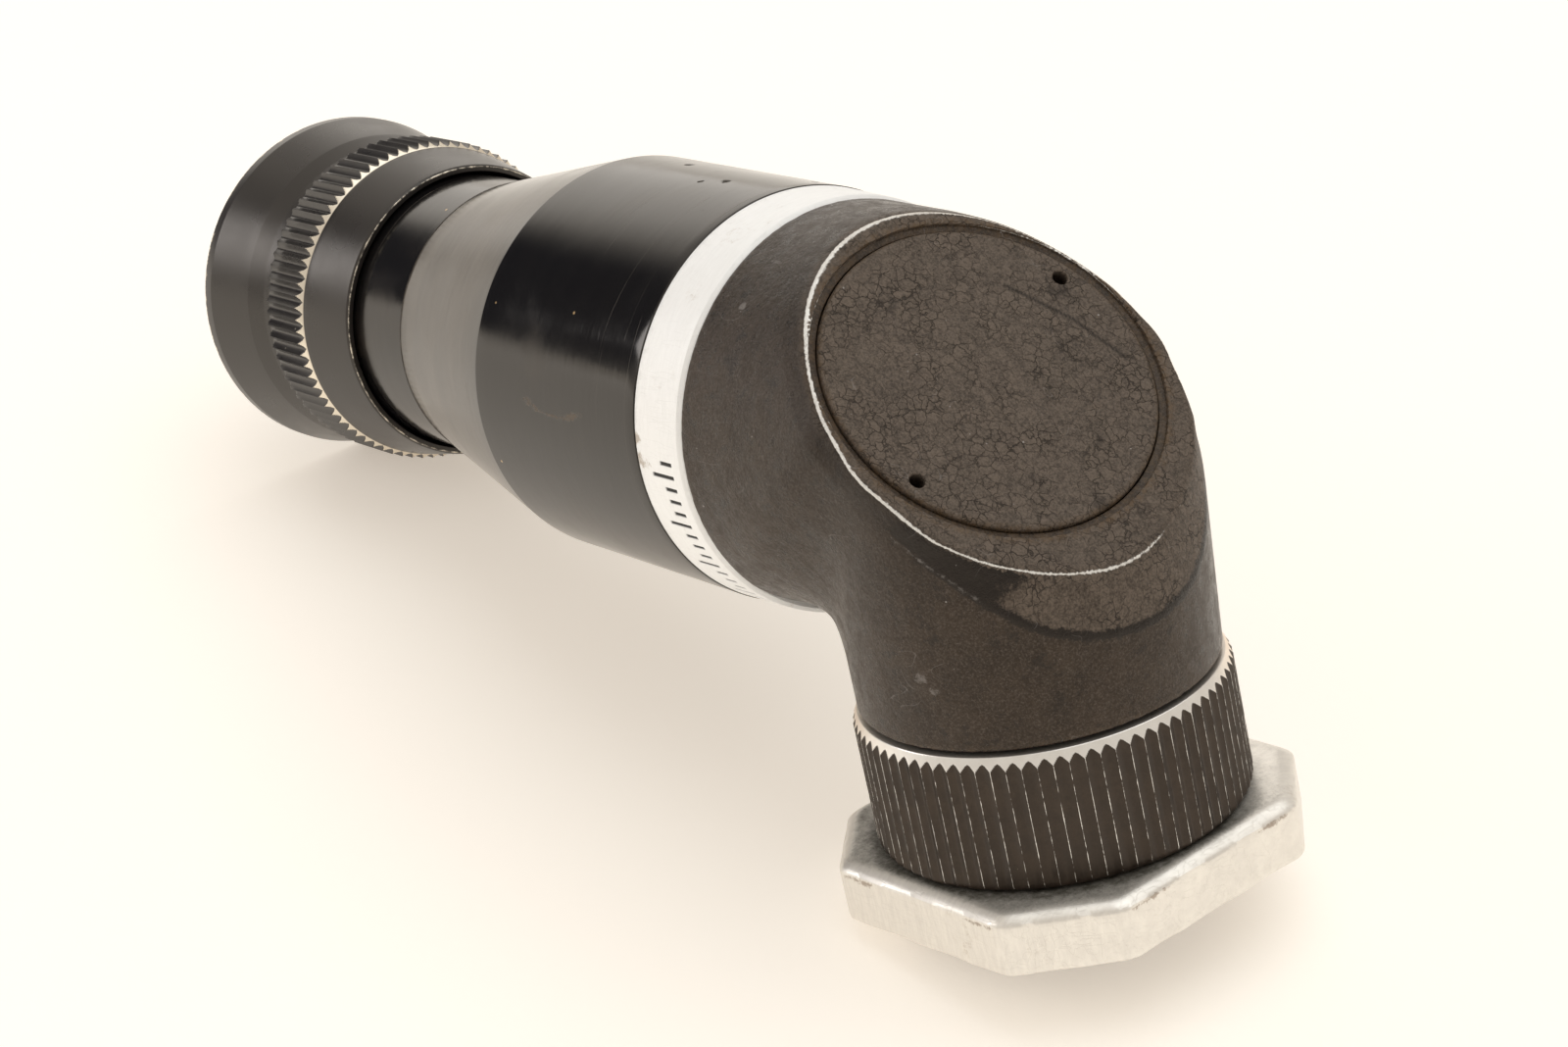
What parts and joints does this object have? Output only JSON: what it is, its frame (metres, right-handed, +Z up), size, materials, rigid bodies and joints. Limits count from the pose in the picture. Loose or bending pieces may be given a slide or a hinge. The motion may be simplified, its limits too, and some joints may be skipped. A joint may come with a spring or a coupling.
{
  "type": "right-angle finder scope",
  "caption": "Right-angle finder scope with a prism elbow, a fluted clamp ring over a swivelling octagonal foot plate, and a knurled helical focusing eyepiece.",
  "frame": {"origin": "middle of the footprint, on the flat surface that the scope rests on", "axes": "+Z up as the scope lies at rest on the edge of its plate and the rim of its eyecup; the barrel runs towards -X, tipped down to the eyecup, and the foot is towards +X; XZ is the plane of symmetry"},
  "size_m": [0.123, 0.0334, 0.0517],
  "materials": {
    "crackle_black": "matt crackle enamel",
    "gloss_black": "gloss enamel",
    "satin_black": "satin black anodised",
    "bare_aluminium": "satin, rubbed",
    "fluted_black": "blackened, worn bright on the ridges",
    "inner_black": "matt",
    "brass": "satin",
    "steel": "satin",
    "optical_glass": "polished",
    "coated_glass": "polished, violet coating",
    "cork": "cork"
  },
  "bodies": {
    "scope": {"elbow_housing": "crackle_black", "prism_cover": "crackle_black", "cover_gasket": "inner_black", "prism": "optical_glass", "prism_cradle": "brass", "cradle_screws": "steel", "prism_pad": "cork", "prism_spring": "steel", "index_band": "bare_aluminium", "barrel_tube": "gloss_black", "barrel_baffle": "inner_black", "neck_tube": "gloss_black", "guide_screw": "steel", "objective_tube": "inner_black", "objective_crown": "coated_glass", "objective_flint": "coated_glass", "objective_retainer": "inner_black", "ring_clip": "steel", "plate_nut": "inner_black"},
    "clamp": {"clamp_ring": "fluted_black"},
    "presser": {"pressure_ring": "brass"},
    "foot": {"mount_plate": "bare_aluminium", "friction_washer": "brass"},
    "lens_slide": {"eyepiece_cell": "inner_black", "field_lens": "optical_glass", "field_retainer": "inner_black", "reticle_disc": "optical_glass", "lens_spacer": "inner_black", "eye_lens": "coated_glass", "eye_retainer": "inner_black"},
    "focuser": {"focus_sleeve": "satin_black", "focus_ring": "satin_black", "eyecup": "satin_black"}
  },
  "joints": [
    {"name": "clamp_turn", "type": "hinge", "parent": "scope", "child": "clamp", "pos_m": [0.04318, 0, 0.01388], "axis": [-0.2365, 0, 0.9716], "range_deg": [0, 120]},
    {"name": "presser_lift", "type": "slide", "parent": "scope", "child": "presser", "axis": [-0.2365, 0, 0.9716], "range_m": [-0.00002, 0.0003533]},
    {"name": "plate_swivel", "type": "hinge", "parent": "scope", "child": "foot", "pos_m": [0.04483, 0, 0.00708], "axis": [0.2365, 0, -0.9716], "continuous": true},
    {"name": "focus_travel", "type": "slide", "parent": "scope", "child": "lens_slide", "axis": [-0.9716, 0, -0.2365], "range_m": [-0.00377, 0.00377]},
    {"name": "focus_turn", "type": "hinge", "parent": "lens_slide", "child": "focuser", "pos_m": [-0.04435, 0, 0.0183], "axis": [-0.9716, 0, -0.2365], "range_deg": [-150, 150]}
  ],
  "couplings": [
    {"joint": "presser_lift", "follows": "clamp_turn", "m_per_rad": 0.00015915},
    {"joint": "focus_travel", "follows": "focus_turn", "m_per_rad": 0.0014324}
  ]
}
